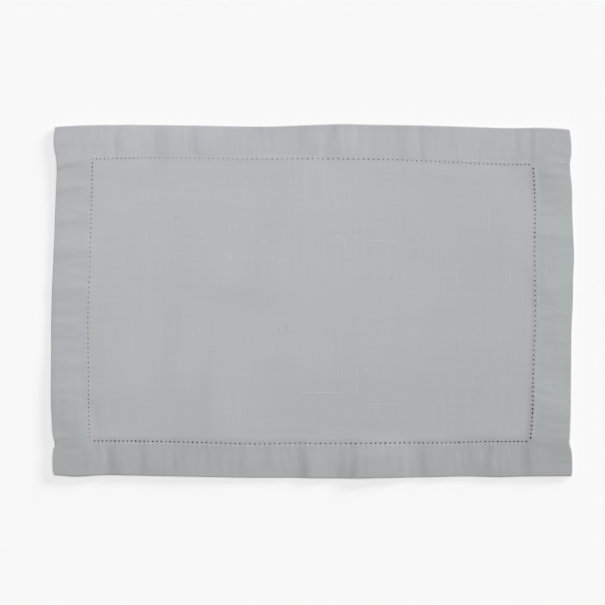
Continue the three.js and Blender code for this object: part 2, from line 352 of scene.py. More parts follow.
def walk(cut, edge):
    """The place across the finished mat, and the turn of the fold there, from the distance walked on
    the cut cloth: straight to the fold line, a half turn of radius FOLD, and straight back."""
    walked = np.abs(cut)
    turn = np.clip((walked - (edge - FOLD)) / FOLD, 0, np.pi)
    back = np.clip(walked - (edge - FOLD) - np.pi * FOLD, 0, None)
    return np.sign(cut) * (np.minimum(walked, edge - FOLD) - back), turn


def cut_half(seam, edge):
    """Half the cut: to the fold line, round the fold, and back until just past the seam."""
    return (edge - FOLD) + np.pi * FOLD + (edge - FOLD - seam + UNDER_REACH)


CUT_X, CUT_Y = cut_half(END_SEAM, END_EDGE), cut_half(SIDE_SEAM, SIDE_EDGE)
print(f"cloth without its turned-in edges: {2 * CUT_X:.0f} x {2 * CUT_Y:.0f} mm")


# %% Fold the ends, then the sides
def cloth_points(a, b, face):
    """Where a point of the cut cloth lies. face is 1 on its right side and -1 on its wrong side. First
    fold: depth is how far the point is below the upper layer's middle. Second fold: the whole stack is
    carried round a larger half turn, so that depth is measured from the outside of that turn
    inwards."""
    x, end_turn = walk(a, END_EDGE)
    y, side_turn = walk(b, SIDE_EDGE)
    top, wave = top_height(x, y), wave_height(x, y)
    under = HALF + 2 * STACK_STEP * over_hem(np.abs(y) - SIDE_SEAM)
    end_radius = (top - under) / 2
    depth = end_radius * (1 - np.cos(end_turn)) - face * HALF * np.cos(end_turn)
    side_radius = (top_height(x, np.sign(b) * (SIDE_EDGE - FOLD)) - HALF) / 2
    x = x + np.sign(a) * (end_radius + face * HALF) * np.sin(end_turn)
    y = y + np.sign(b) * (side_radius - depth) * np.sin(side_turn)
    z_round = HALF + side_radius + (side_radius - depth) * np.cos(side_turn)
    z = np.where(side_turn > 0, z_round, top - depth)
    return np.stack([*as_it_lies(x, y), z + wave], -1)


CORNER_INSET = 9
corner = cloth_points(np.array([END_EDGE - CORNER_INSET]), np.array([SIDE_EDGE - CORNER_INSET]), 1)[0]
print("a corner's upper side is", round(float(corner[2]), 2), "mm above the table")

# %% [markdown]
# ## Hemstitch holes
#
# A wing needle opens a hole one to two millimetres wide at every stitch. The holes are real openings in
# the upper cloth, and the inside of the hem, painted nearly black as shade, shows through them. They
# could be cut with a boolean, but hundreds of tiny cuts are slow and leave ragged faces. Here the grid
# lines of the cloth are laid so that every hole has a small square cell of its own, and the cell is
# replaced by a ring of eight faces round an octagon.

# %% Where the holes are
LONG_GAPS, SHORT_GAPS = 96, 61
CORNER_CROWDING = 0.11
CELL = 1.5


def hole_places(gaps, seam):
    """Places of the holes along a seam: even steps, drawn together towards both ends by a sine."""
    even = np.linspace(-1, 1, gaps + 1)
    return seam * (even + CORNER_CROWDING * np.sin(np.pi * even) / np.pi)


HOLES_X, HOLES_Y = hole_places(LONG_GAPS, END_SEAM), hole_places(SHORT_GAPS, SIDE_SEAM)
print(f"gaps between holes: {np.diff(HOLES_X).min():.1f} to {np.diff(HOLES_X).max():.1f} mm")

# %% Lay the grid lines of the cut cloth
HEM_CELLS, FOLD_CELLS, UNDER_CELLS = 17, 6, 5
HEM_LINES = HEM_CELLS + FOLD_CELLS + UNDER_CELLS
CRISP = 0.4


def grid_lines(holes, seam, edge):
    """Two lines beside every hole, then even lines across the hem, one close before the fold that keeps
    the hem flat up to it, even lines round the fold and along the under layer, and the mirror image of
    those."""
    panel = np.sort(np.concatenate([holes - CELL, holes + CELL]))
    fold_starts, fold_ends = edge - FOLD, edge - FOLD + np.pi * FOLD
    hem = np.concatenate([
        np.linspace(seam + CELL, fold_starts - CRISP, HEM_CELLS)[1:],
        [fold_starts],
        np.linspace(fold_starts, fold_ends, FOLD_CELLS + 1)[1:],
        np.linspace(fold_ends, cut_half(seam, edge), UNDER_CELLS + 1)[1:],
    ])
    return np.concatenate([-hem[::-1], panel, hem])


LINES_A, LINES_B = grid_lines(HOLES_X, END_SEAM, END_EDGE), grid_lines(HOLES_Y, SIDE_SEAM, SIDE_EDGE)
print("grid of", len(LINES_A), "by", len(LINES_B), "lines")

# %% List the holes: cell, centre, radius along and across the seam
RADII = {
    "top": [(-203, 0.58), (-126, 0.43), (-40, 0.52), (25, 0.67), (110, 0.56), (180, 0.59), (203, 0.72)],
    "bottom": [(-203, 0.81), (-76, 0.75), (-25, 0.71), (25, 0.76), (203, 0.8)],
    "left": [(-129, 0.63), (-80, 0.56), (0, 0.58), (60, 0.53), (100, 0.58), (129, 0.74)],
    "right": [(-129, 0.88), (-80, 0.88), (-40, 0.69), (16, 0.66), (60, 0.69), (129, 0.81)],
}
LONG_CELLS = HEM_LINES + 2 * np.arange(LONG_GAPS + 1)
SHORT_CELLS = HEM_LINES + 2 * np.arange(SHORT_GAPS + 1)
LONGER = 1.12
STRAY_ALONG, STRAY_ACROSS, SIZE_VARIES = 0.18, 0.1, (0.85, 1.1)
STITCH_SEED = 7
dice = np.random.default_rng(STITCH_SEED)


def seam_holes(side):
    """One row a hole: column and row of its cell, centre on the cut cloth, radii in both directions,
    and the direction outwards. A hole is longer along the seam, and each one strays and varies a
    little. Where two seams meet, only the upper left corner has a hole, which the top seam counts."""
    level, high = side in ("top", "bottom"), side in ("top", "right")
    used = slice(0 if side == "top" else 1, -1)
    places = (HOLES_X if level else HOLES_Y)[used]
    cells = (LONG_CELLS if level else SHORT_CELLS)[used]
    fixed = (SHORT_CELLS if level else LONG_CELLS)[-1 if high else 0]
    seam = (SIDE_SEAM if level else END_SEAM) * (1 if high else -1)
    count = len(places)
    along = places + dice.uniform(-STRAY_ALONG, STRAY_ALONG, count)
    across = seam + dice.uniform(-STRAY_ACROSS, STRAY_ACROSS, count)
    radius = curve_through(RADII[side])(places) * dice.uniform(*SIZE_VARIES, count)
    long, wide, flat = radius * LONGER, radius / LONGER, np.zeros(count)
    out = np.full(count, 1.0 if high else -1.0)
    columns = (cells, fixed + flat, along, across, long, wide, flat, out)
    if not level:
        columns = (fixed + flat, cells, across, along, wide, long, out, flat)
    return np.stack(columns, -1)


SIDES = {side: seam_holes(side) for side in ("top", "bottom", "left", "right")}
HOLES = np.concatenate(list(SIDES.values()))
print(len(HOLES), "holes,", {side: len(rows) for side, rows in SIDES.items()})

# %% [markdown]
# ## The cloth as one closed mesh
#
# The right side and the wrong side are two copies of the same grid, half a cloth thickness above and
# below the fold formula's middle. A strip joins them along the cut edge and a little wall joins them in
# each hole, so the sheet is closed everywhere. Faces are listed anticlockwise as seen from outside,
# which makes their normals point outwards.

# %% Points of the grid and of the hole rims
COLUMNS, ROWS = len(LINES_A), len(LINES_B)
grid_a, grid_b = (lines.ravel() for lines in np.meshgrid(LINES_A, LINES_B))
RIM_POINTS, RIM_START = 8, -112.5
rim_turn = np.radians(RIM_START + 360 / RIM_POINTS * np.arange(RIM_POINTS))
rim_a = (HOLES[:, 2:3] + HOLES[:, 4:5] * np.cos(rim_turn)).ravel()
rim_b = (HOLES[:, 3:4] + HOLES[:, 5:6] * np.sin(rim_turn)).ravel()
flat_a, flat_b = np.concatenate([grid_a, rim_a]), np.concatenate([grid_b, rim_b])
right_side, wrong_side = cloth_points(flat_a, flat_b, 1), cloth_points(flat_a, flat_b, -1)
LAYER = len(flat_a)
print(2 * LAYER, "points,", len(rim_a), "of them round the holes on each side")

# %% Faces of one side, with the hole cells left out
column, row = (index.ravel() for index in np.meshgrid(np.arange(COLUMNS - 1), np.arange(ROWS - 1)))
hole_column, hole_row = HOLES[:, 0].astype(int), HOLES[:, 1].astype(int)
pierced = np.isin(row * COLUMNS + column, hole_row * COLUMNS + hole_column)


def cell_corners(column, row):
    """The four corners of a grid cell, anticlockwise from the lowest."""
    first = row * COLUMNS + column
    return np.stack([first, first + 1, first + 1 + COLUMNS, first + COLUMNS], -1)


plain_quads = cell_corners(column[~pierced], row[~pierced])
rim_numbers = COLUMNS * ROWS + np.arange(len(rim_a)).reshape(-1, RIM_POINTS)
ring = np.concatenate([cell_corners(hole_column, hole_row), rim_numbers], 1)
ring_quads = ring[:, [[0, 1, 5, 4], [1, 2, 7, 6], [2, 3, 9, 8], [3, 0, 11, 10]]].reshape(-1, 4)
ring_triangles = ring[:, [[1, 6, 5], [2, 8, 7], [3, 10, 9], [0, 4, 11]]].reshape(-1, 3)
side_quads = np.concatenate([plain_quads, ring_quads])
print(len(side_quads), "four-sided and", len(ring_triangles), "three-sided faces on each side")

# %% Strips that join the two sides
border = np.concatenate([
    np.arange(COLUMNS - 1),
    COLUMNS - 1 + COLUMNS * np.arange(ROWS - 1),
    COLUMNS * ROWS - 1 - np.arange(COLUMNS - 1),
    COLUMNS * (ROWS - 1) - COLUMNS * np.arange(ROWS - 1),
])
after = np.roll(border, -1)
cut_strip = np.stack([after, border, border + LAYER, after + LAYER], -1)
rim = ring[:, 4:]
rim_after = np.roll(rim, -1, 1)
hole_walls = np.stack([rim, rim_after, rim_after + LAYER, rim + LAYER], -1).reshape(-1, 4)
joins = np.concatenate([cut_strip, hole_walls])
print(len(cut_strip), "faces along the cut edge and", len(hole_walls), "in the holes")

# %% Put arrays into a mesh
SHARP = math.radians(55)


def cloth_object(name, points, quads, triangles, maps):
    """A smooth mesh from points in millimetres, with a place on each named map for every corner of a
    face."""
    mesh = bpy.data.meshes.new(name)
    mesh.from_pydata((points / 1000).tolist(), [], quads.tolist() + triangles.tolist())
    for map_name, places in maps.items():
        mesh.uv_layers.new(name=map_name).uv.foreach_set("vector", places.astype(np.float32).ravel())
    mesh.polygons.foreach_set("use_smooth", np.ones(len(mesh.polygons), bool))
    mesh.set_sharp_from_angle(angle=SHARP)
    made = bpy.data.objects.new(name, mesh)
    bpy.context.scene.collection.objects.link(made)
    return made


print("meshes are made from arrays of points and faces")

# %% A map that follows the yarns of the cut cloth
quads = np.concatenate([side_quads, (side_quads + LAYER)[:, ::-1], joins])
triangles = np.concatenate([ring_triangles, (ring_triangles + LAYER)[:, ::-1]])
corners = np.concatenate([quads.ravel(), triangles.ravel()])
flat_place = np.stack([flat_a, flat_b], -1)
weave_map = np.tile(flat_place, (2, 1))[corners] / 1000
print("weave map:", np.round(weave_map.min(0), 3), "to", np.round(weave_map.max(0), 3), "metres")

# %% An unfolded layout: right side large, wrong side small above it, and a tile for every joining face
unfolded = (flat_place + (CUT_X, CUT_Y)) / (2 * CUT_X)
WRONG_SCALE, WRONG_PLACE = 0.4, (0.0, 0.715)
layout = np.concatenate([unfolded, unfolded * WRONG_SCALE + WRONG_PLACE])[corners]
STRIP_LOW, STRIP_HIGH = np.array([0.42, 0.715]), np.array([0.995, 0.995])
STRIP_COLUMNS = 84
strip_rows = math.ceil(len(joins) / STRIP_COLUMNS)
tile = (STRIP_HIGH - STRIP_LOW) / (STRIP_COLUMNS, strip_rows)
number = np.arange(len(joins))
tile_low = STRIP_LOW + tile * np.stack([number % STRIP_COLUMNS, number // STRIP_COLUMNS], -1)
TILE_INSET = 0.2
square = np.array([[0, 0], [1, 0], [1, 1], [0, 1]])
tile_corners = TILE_INSET + (1 - 2 * TILE_INSET) * square
joins_start = 4 * (len(quads) - len(joins))
layout[joins_start:joins_start + 4 * len(joins)] = (tile_low[:, None] + tile * tile_corners).reshape(-1, 2)
print("layout fills", np.round(layout.min(0), 3), "to", np.round(layout.max(0), 3))

# %% Make the cloth
folded_cloth = cloth_object(
    "hemmed_cloth", np.concatenate([right_side, wrong_side]), quads, triangles,
    {"Weave": weave_map, "OFBake": layout},
)
print("hemmed cloth:", sum(len(face.vertices) - 2 for face in folded_cloth.data.polygons), "triangles")

# %% [markdown]
# ### How much light the cloth keeps
#
# Single cloth lets the pale table shine through, so the panel is a little lighter than the doubled
# hems, and the inside of a hem gets hardly any light. A colour on every point paints this shade into
# the material. Each hem gets its own painted shade, which also holds how the light falls on that side.
# The folds of the top and right hem get a painted shade where the low sun falls, and the inside of a
# hem is painted nearly black. It could be painted by hand as vertex colours, but the fold formula
# already knows which layer a point is on.

# %% A painted shade for every point
# Painted shade of each hem: darker than the panel where the table's light shines through single cloth, and
# each side darker or lighter by how the light falls on it.
HEM_PAINTED_SHADES = {
    "top": (0.957, 0.958, 0.963), "bottom": (0.896, 0.918, 0.905),
    "left": (0.955, 0.964, 0.968), "right": (0.952, 0.987, 0.969),
}
# Painted shade: the inside of a hem is painted nearly black, so it shows dark through the holes.
INSIDE_PAINTED_SHADE = (0.08, 0.08, 0.08)
# Painted shade on the rounded folds of the top and right hem, where the low sun falls.
FOLD_PAINTED_SHADE = 0.35
TINT_FADE, CREEP_FADE = (0, 3), (-45, 0)
SHOW_THROUGH, CREEP = 0.15, 0.5
UNDER_TURN = 3


def layer_painted_shade(a, b, face):
    """Painted shade: white on the panel and the hem's own painted shade across a seam. Where hems cross,
    the side hem's shade covers most of the end hem's, and half of it creeps along the end hem towards
    the middle. The folds of the top and right hem, where the low sun falls, get a painted shade by the
    squared sine of their turn. The wrong side of the under layers, whose turn is past UNDER_TURN, is
    painted nearly black as shade."""
    (x, end_turn), (y, side_turn) = walk(a, END_EDGE), walk(b, SIDE_EDGE)
    end_out, side_out = np.abs(x) - END_SEAM, np.abs(y) - SIDE_SEAM
    on_end, on_side = smooth_step(end_out, *TINT_FADE), smooth_step(side_out, *TINT_FADE)
    crept = CREEP * on_end * smooth_step(side_out, *CREEP_FADE)
    on_side = np.maximum(on_side * (1 - SHOW_THROUGH * on_end), crept)
    tint = np.ones((len(x), 3))
    for place, share, low, high in ((x, on_end, "left", "right"), (y, on_side, "bottom", "top")):
        hem = np.where(place[:, None] > 0, HEM_PAINTED_SHADES[high], HEM_PAINTED_SHADES[low])
        tint += share[:, None] * (hem - tint)
    turned = np.maximum(np.sin(end_turn) * (x > 0), np.sin(side_turn) * (y > 0))
    tint *= 1 - FOLD_PAINTED_SHADE * turned[:, None] ** 2
    inside = ((end_turn > UNDER_TURN) | (side_turn > UNDER_TURN)) & (face < 0)
    return np.where(inside[:, None], INSIDE_PAINTED_SHADE, tint)


# The painted shade of every point goes to the material as a colour attribute.
tint = folded_cloth.data.attributes.new("layer_painted_shade", "FLOAT_COLOR", "POINT")
tints = np.concatenate([layer_painted_shade(flat_a, flat_b, side) for side in (1, -1)])
tint.data.foreach_set("color", np.column_stack([tints, np.ones(len(tints))]).astype(np.float32).ravel())
print("tints run from", tints.min(0), "to", tints.max(0))

# %% [markdown]
# ## Hemstitch thread and slubs
#
# Fine thread runs as a bar from hole to hole along each seam. Between two holes it bites into the hem
# on one side and nicks the panel on the other, a zigzag that pulls the holes open. Slubs are thick
# places in the yarn, which lie in the weave as short raised lines paler than the cloth. A few darker
# strands of the same kind are painted shade, laid along thin shadowed lines in the cloth. All of these
# are thin ovals carried along short paths on the cloth. A curve with a bevel would do for one strand,
# but all the strands together are quicker and lighter as one array.

# %% Carry an oval along many short paths
YARN_SIDES = 6


def yarn_object(name, paths, half_width, half_height, sides=YARN_SIDES):
    """paths holds for each strand a row of points in millimetres. Round each point lies an oval of six:
    across the path by half_width and upwards by half_height, both given along the strand. Two faces
    close each end."""
    strands, steps = paths.shape[:2]
    ahead = np.gradient(paths, axis=1)
    across = np.stack([-ahead[..., 1], ahead[..., 0], np.zeros((strands, steps))], -1)
    across /= np.linalg.norm(across, axis=-1, keepdims=True)
    turn = 2 * np.pi * np.arange(sides) / sides
    wide = np.cos(turn)[:, None] * (across * half_width[..., None])[:, :, None]
    tall = np.sin(turn)[:, None] * (np.array([0, 0, 1]) * half_height[..., None])[:, :, None]
    points = paths[:, :, None] + wide + tall
    first = np.arange(strands * steps).reshape(strands, steps, 1) * sides
    here, beside = first + np.arange(sides), first + (np.arange(sides) + 1) % sides
    tube = np.stack([here[:, :-1], beside[:, :-1], beside[:, 1:], here[:, 1:]], -1).reshape(-1, 4)
    first_ring, last_ring = here[:, 0], here[:, -1]
    start_caps = [first_ring[:, [3, 2, 1, 0]], first_ring[:, [5, 4, 3, 0]]]
    end_caps = [last_ring[:, [0, 1, 2, 3]], last_ring[:, [0, 3, 4, 5]]]
    quads = np.concatenate([tube, *start_caps, *end_caps])
    length = np.repeat(np.linspace(0, 1, steps)[None, :, None], strands, 0) + np.zeros(sides)
    round_it = np.arange(sides) / sides + np.zeros((strands, steps, 1))
    strand_map = np.stack([length.ravel(), round_it.ravel()], -1)[quads.ravel()]
    return cloth_object(name, points.reshape(-1, 3), quads, np.zeros((0, 3), int), {"Strand": strand_map})


print("a strand is an oval of", YARN_SIDES, "points, carried along its path")

# %% Paths of the stitches
STEPS = np.linspace(0, 1, 5)
BAR_START, RIM_CLEAR = 0.25, 1.1
BITE, BITE_VARIES = 3.2, (0.85, 1.1)
NICK, NICK_VARIES = 1.8, (0.8, 1.1)
BAR_ARCH, BITE_ARCH, NICK_ARCH, DIVE = 0.06, 0.1, 0.08, 0.06


def strands_between(start, end, arch):
    """Straight lines on the cut cloth from start to end, laid on the folded cloth, arching up by a sine
    and diving into the cloth at both ends."""
    flat = start[:, None] + (end - start)[:, None] * STEPS[:, None]
    laid = cloth_points(flat[..., 0], flat[..., 1], 1)
    laid[..., 2] += arch * np.sin(np.pi * STEPS) - DIVE
    return laid


def seam_strands(side):
    """For one seam: a bar between neighbouring holes, a zigzag from each hole's outer rim to the bite
    in the hem between it and the next, and a smaller zigzag to a nick in the panel."""
    rows = SIDES[side]
    here, there, out = rows[:-1, 2:4], rows[1:, 2:4], rows[:-1, 6:8]
    rim = RIM_CLEAR * rows[:, 4:6] * rows[:, 6:8]
    inset = BAR_START * (there - here)
    bars = strands_between(here + inset, there - inset, BAR_ARCH)
    bite = (here + there) / 2 + BITE * out * dice.uniform(*BITE_VARIES, (len(here), 1))
    nick = (here + there) / 2 - NICK * out * dice.uniform(*NICK_VARIES, (len(here), 1))
    bites = [strands_between(start, bite, BITE_ARCH) for start in (here + rim[:-1], there + rim[1:])]
    nicks = [strands_between(start, nick, NICK_ARCH) for start in (here - rim[:-1], there - rim[1:])]
    return bars, np.concatenate(bites), np.concatenate(nicks)


stitched = [seam_strands(side) for side in SIDES]
bars, bites, nicks = (np.concatenate(paths) for paths in zip(*stitched))
print("stitch paths:", len(bars), "bars,", len(bites), "bites and", len(nicks), "nicks")

# %% Thread on those paths: a bar is plumpest in its middle, a bite and a nick at their tip
BAR_HALF, BAR_SWELL = 0.12, 0.06
BITE_HALF, BITE_SWELL = 0.06, 0.22
NICK_HALF, NICK_SWELL = 0.05, 0.04
THREAD_HALF_HEIGHT, PLUMP_VARIES = 0.12, (0.5, 1.2)
plump = np.concatenate([
    np.tile(BAR_HALF + BAR_SWELL * np.sin(np.pi * STEPS), (len(bars), 1)),
    np.tile(BITE_HALF + BITE_SWELL * STEPS**2, (len(bites), 1)),
    np.tile(NICK_HALF + NICK_SWELL * STEPS, (len(nicks), 1)),
])
plump *= dice.uniform(*PLUMP_VARIES, (len(plump), 1))
stitch_paths = np.concatenate([bars, bites, nicks])
stitch_height = np.full_like(plump, THREAD_HALF_HEIGHT)
stitch_thread = yarn_object("hemstitch_thread", stitch_paths, plump, stitch_height)
print("hemstitch thread:", len(stitch_thread.data.polygons), "faces")

# %% Slubs: middle x and y, length (below zero for one that runs across the mat), half width
SLUBS = [
    (24, 59, 11, 0.65), (63, 55.5, 38, 0.6), (122, 26.5, 24, 0.4), (-45, 54, 10, 0.65),
    (162, 20, 10, 0.5), (12, -83.5, 60, 0.55), (58, -94, 22, 0.5), (58, -97, 20, 0.5),
    (224, 65, 28, 0.2), (219, -28, 24, 0.25), (161, 78, -26, 0.65), (132, 23, -20, 0.5),
    (181, 24, -13, 0.6), (42.5, -75, -42, 0.4), (121.5, -95, -13, 0.65), (148, -74, -10, 0.65),
    (168, -50, 7, 0.45), (-129, 116, -12, 0.5), (-76.6, 41, -15, 0.5), (-74, 40, -12, 0.5),
    (-101, 62, 7, 0.6), (214, 23, -34, 0.3), (-192, 124, 15, 0.45), (-233, -98, -60, 0.2),
    (-31, 36, 5, 0.7), (-86, 45, 8, 0.55), (-61, 108, -9, 0.45), (-21, 109, -8, 0.5),
    (-144, 75.5, 8, 0.6), (29.5, 52, -14, 0.55), (41, 59, 8, 0.65), (101, 63, -5, 0.6),
    (100, 37, -5, 0.65), (142, 47, -5, 0.5), (142, 38, -5, 0.4), (21, 68, -6, 0.4),
    (84.5, 110, -5, 0.4), (192, 110, -5, 0.5), (-102, -26, -6, 0.7), (-86, -13.5, 5, 0.7),
    (-71, -14, 5, 0.45), (-92.5, -78, -6, 0.5), (-84, -95, 24, 0.4), (-10, -113, 50, 0.4),
    (-157, -110, -6, 0.6), (-35, -43, -6, 0.5), (29, -66, -12, 0.5), (56, -39, 8, 0.4),
    (112, -47, 28, 0.4), (144.5, -88, -12, 0.5), (148, -84.5, 6, 0.65), (112, -98, -7, 0.7),
    (66, -109, -9, 0.5), (-148, 149, -20, 0.3), (135.5, 140, -14, 0.35), (229, -96, -18, 0.25),
    (183.5, -141, -12, 0.15), (-168, -148, 16, 0.18), (231, 131.2, 8, 0.6), (215, 130.6, 10, 0.3),
]
# These darker strands are painted shade, laid along thin shadowed lines in the cloth.
SHADE_PAINTED_SLUBS = [
    (-23.4, -24, -10, 0.6), (-29.6, -26, -6, 0.5), (25, -79, -18, 0.4), (-126, 76, 8, 0.5),
    (-112, 57.5, 8, 0.4), (72.5, 22, -6, 0.5), (-128.8, -22, -6, 0.5), (50.8, -69, -6, 0.5),
]
print("slubs:", len(SLUBS), "pale and", len(SHADE_PAINTED_SLUBS), "dark")

# %% Make the slubs
SLUB_STEPS = np.linspace(0, 1, 9)
SLUB_HALF_HEIGHT, SLUB_TIP = 0.06, 0.01


def slub_yarns(name, rows):
    """Each slub is a straight line on the cut cloth, as thick along its length as a sine's first half
    wave."""
    x, y, length, half = np.array(rows, float).T[:, :, None]
    run = (SLUB_STEPS - 0.5) * np.abs(length)
    laid = cloth_points(x + np.where(length > 0, run, 0), y + np.where(length < 0, run, 0), 1)
    taper = np.sin(np.pi * np.clip(SLUB_STEPS, SLUB_TIP, 1 - SLUB_TIP))
    return yarn_object(name, laid, half * taper, SLUB_HALF_HEIGHT * taper + 0 * half)


slubs, shade_painted_slubs = slub_yarns("slub_yarns", SLUBS), slub_yarns("shade_painted_slub_yarns", SHADE_PAINTED_SLUBS)
print("slub yarns:", len(slubs.data.polygons), "and", len(shade_painted_slubs.data.polygons), "faces")

# %% [markdown]
# ## Materials
#
# The cloth is a dull light grey, almost neutral. Plain weave crosses warp and weft one over one; each
# yarn is a little thicker or thinner along its length, which gives the cloth faint streaks both ways.
# An image of linen would repeat and blur, so the weave is worked out from the map of the cut cloth,
# where it runs round every fold as real threads do.


# %% A short way to add nodes
def node_adder(material):
    """Returns a function that adds a node and fills its inputs, by a link where the value is another
    node's output and by a plain value otherwise."""
    material.use_nodes = True
    tree = material.node_tree
    tree.nodes.clear()

    def add(kind, *values, output=0, **settings):
        made = tree.nodes.new("ShaderNode" + kind)
        for name, value in settings.items():
            setattr(made, name, value)
        for place, value in enumerate(values):
            socket = made.inputs[place]
            if isinstance(value, bpy.types.NodeSocket):
                tree.links.new(value, socket)
            elif value is not None:
                socket.default_value = value
        return made.outputs[output] if made.outputs else made

    return add


print("nodes are added one call each")

# %% Weave height and yarn streaks
YARN = 0.55 / 1000
STREAK_ALONG, STREAK_ACROSS = 12, 220
STREAK_DETAIL, STREAK_ROUGHNESS = 4.0, 0.7


def weave_nodes(add):
    """Crown of the warp yarn |sin|, crown of the weft yarn |sin|, and the product of the two sines,
    which says which of them is on top: height = warp crown x share on top + weft crown x the rest."""
    along, across = (add("SeparateXYZ", add("UVMap", uv_map="Weave"), output=axis) for axis in (0, 1))
    sines = [add("Math", add("Math", axis, math.pi / YARN, operation="MULTIPLY"), operation="SINE")
             for axis in (along, across)]
    crowns = [add("Math", sine, operation="ABSOLUTE") for sine in sines]
    on_top = add("Math", add("Math", *sines, operation="MULTIPLY"), 0.5, 0.5, operation="MULTIPLY_ADD")
    difference = add("Math", *crowns, operation="SUBTRACT")
    return add("Math", difference, on_top, crowns[1], operation="MULTIPLY_ADD")


def streak_nodes(add, stretch):
    """Noise drawn out along the yarns: STREAK_ALONG waves a metre that way and STREAK_ACROSS the other,
    with finer waves added on top."""
    place = add("Mapping", add("UVMap", uv_map="Weave"), None, None, stretch)
    return add("TexNoise", place, None, 1.0, STREAK_DETAIL, STREAK_ROUGHNESS, noise_dimensions="2D")


print(f"weave of {1 / (YARN * 100):.0f} yarns a centimetre")

# %% Finish the cloth
CLOTH_COLOUR = (0.449, 0.459, 0.451)
STREAK_STRENGTH = 0.07
WEAVE_BUMP, WEAVE_DEPTH = 0.25, 0.0001
CLOTH_ROUGH, CROWN_RUBBED = 0.92, -0.1
SHEEN, SHEEN_ROUGH = 0.02, 0.5


def cloth_finish():
    """Colour = grey x the painted shade of the layers x (1 + STREAK_STRENGTH x (the streaks of both ways -
    1)). Bump is the weave plus the streaks. Roughness is CLOTH_ROUGH, and a little less on the crowns of
    the yarns."""
    material = bpy.data.materials.new("slub_weave")
    add = node_adder(material)
    weave = weave_nodes(add)
    weft = streak_nodes(add, (STREAK_ALONG, STREAK_ACROSS, 1))
    warp = streak_nodes(add, (STREAK_ACROSS, STREAK_ALONG, 1))
    both = add("Math", weft, warp, operation="ADD")
    streak = add("Math", both, STREAK_STRENGTH, 1 - STREAK_STRENGTH, operation="MULTIPLY_ADD")
    # The layer attribute carries painted shade: of each hem, of the folds of the top and right hem, and of
    # the inside of the hems.
    layer = add("Attribute", attribute_name="layer_painted_shade")
    tint = add("VectorMath", layer, CLOTH_COLOUR, operation="MULTIPLY")
    colour = add("VectorMath", tint, operation="SCALE")
    material.node_tree.links.new(streak, colour.node.inputs["Scale"])
    height = add("Math", both, weave, operation="ADD")
    bump = add("Bump", WEAVE_BUMP, WEAVE_DEPTH)
    material.node_tree.links.new(height, bump.node.inputs["Height"])
    rough = add("Math", weave, CROWN_RUBBED, CLOTH_ROUGH, operation="MULTIPLY_ADD")
    surface = add("BsdfPrincipled", colour)
    shader = surface.node
    material.node_tree.links.new(rough, shader.inputs["Roughness"])
    material.node_tree.links.new(bump, shader.inputs["Normal"])
    shader.inputs["Specular IOR Level"].default_value = 0.0
    shader.inputs["Sheen Weight"].default_value = SHEEN
    shader.inputs["Sheen Roughness"].default_value = SHEEN_ROUGH
    add("OutputMaterial", surface)
    return material


folded_cloth.data.materials.append(cloth_finish())
print("cloth finish:", len(folded_cloth.data.materials[0].node_tree.nodes), "nodes")

# %% Finish the thread and the slubs
THREAD_COLOUR, THREAD_TWIST = (0.58, 0.59, 0.582), 3.0
# The darker slub colour is painted shade for thin shadowed lines in the cloth.
SLUB_COLOUR, SLUB_PAINTED_SHADE_COLOUR, SLUB_TWIST = (0.51, 0.521, 0.511), (0.4, 0.409, 0.402), 8.0
PLIES, PLY_SHADE = 2, 0.04
PLY_BUMP, PLY_DEPTH = 0.3, 0.00005
STRAND_ROUGH, PLY_RUBBED = 0.78, -0.06


def strand_finish(name, colour, twist):
    """A yarn whose plies wind round it: a sine that turns PLIES times round the strand and PLIES x
    twist times along it. It shades the colour a little, and gives the bump and the roughness."""
    material = bpy.data.materials.new(name)
    add = node_adder(material)
    length, round_it = (add("SeparateXYZ", add("UVMap", uv_map="Strand"), output=axis) for axis in (0, 1))
    wound = add("Math", length, twist, round_it, operation="MULTIPLY_ADD")
    ply = add("Math", add("Math", wound, 2 * math.pi * PLIES, operation="MULTIPLY"), operation="SINE")
    light = add("Math", ply, PLY_SHADE, 1 - PLY_SHADE, operation="MULTIPLY_ADD")
    shade = add("VectorMath", colour, operation="SCALE")
    material.node_tree.links.new(light, shade.node.inputs["Scale"])
    bump = add("Bump", PLY_BUMP, PLY_DEPTH)
    material.node_tree.links.new(ply, bump.node.inputs["Height"])
    surface = add("BsdfPrincipled", shade)
    shader = surface.node
    rough = add("Math", ply, PLY_RUBBED, STRAND_ROUGH, operation="MULTIPLY_ADD")
    material.node_tree.links.new(rough, shader.inputs["Roughness"])
    material.node_tree.links.new(bump, shader.inputs["Normal"])
    shader.inputs["Specular IOR Level"].default_value = 0.0
    add("OutputMaterial", surface)
    return material


stitch_thread.data.materials.append(strand_finish("stitch_thread", THREAD_COLOUR, THREAD_TWIST))
slubs.data.materials.append(strand_finish("slub_yarn", SLUB_COLOUR, SLUB_TWIST))
shade_painted_slubs.data.materials.append(strand_finish("shade_painted_slub_yarn", SLUB_PAINTED_SHADE_COLOUR, SLUB_TWIST))
print("strand finishes:", [piece.data.materials[0].name for piece in (stitch_thread, slubs, shade_painted_slubs)])

# %% [markdown]
# ## Floor, light and camera
#
# The mat lies on a plain pale floor and is seen from straight above through a long lens, so that its
# outline keeps its shape. An even sky and a wide high sun do most of the lighting. A low soft sun from
# the upper right draws out the ripples and leaves a narrow soft shadow on the left and below. One light
# could do all this, but the real floor is whiter and more even than the cloth on it. So the floor has a
# high sun of its own, and two lights reach only the cloth: a weaker twin of the low sun, and a cool
# lamp beyond the top edge, from which the cloth fades towards the bottom.

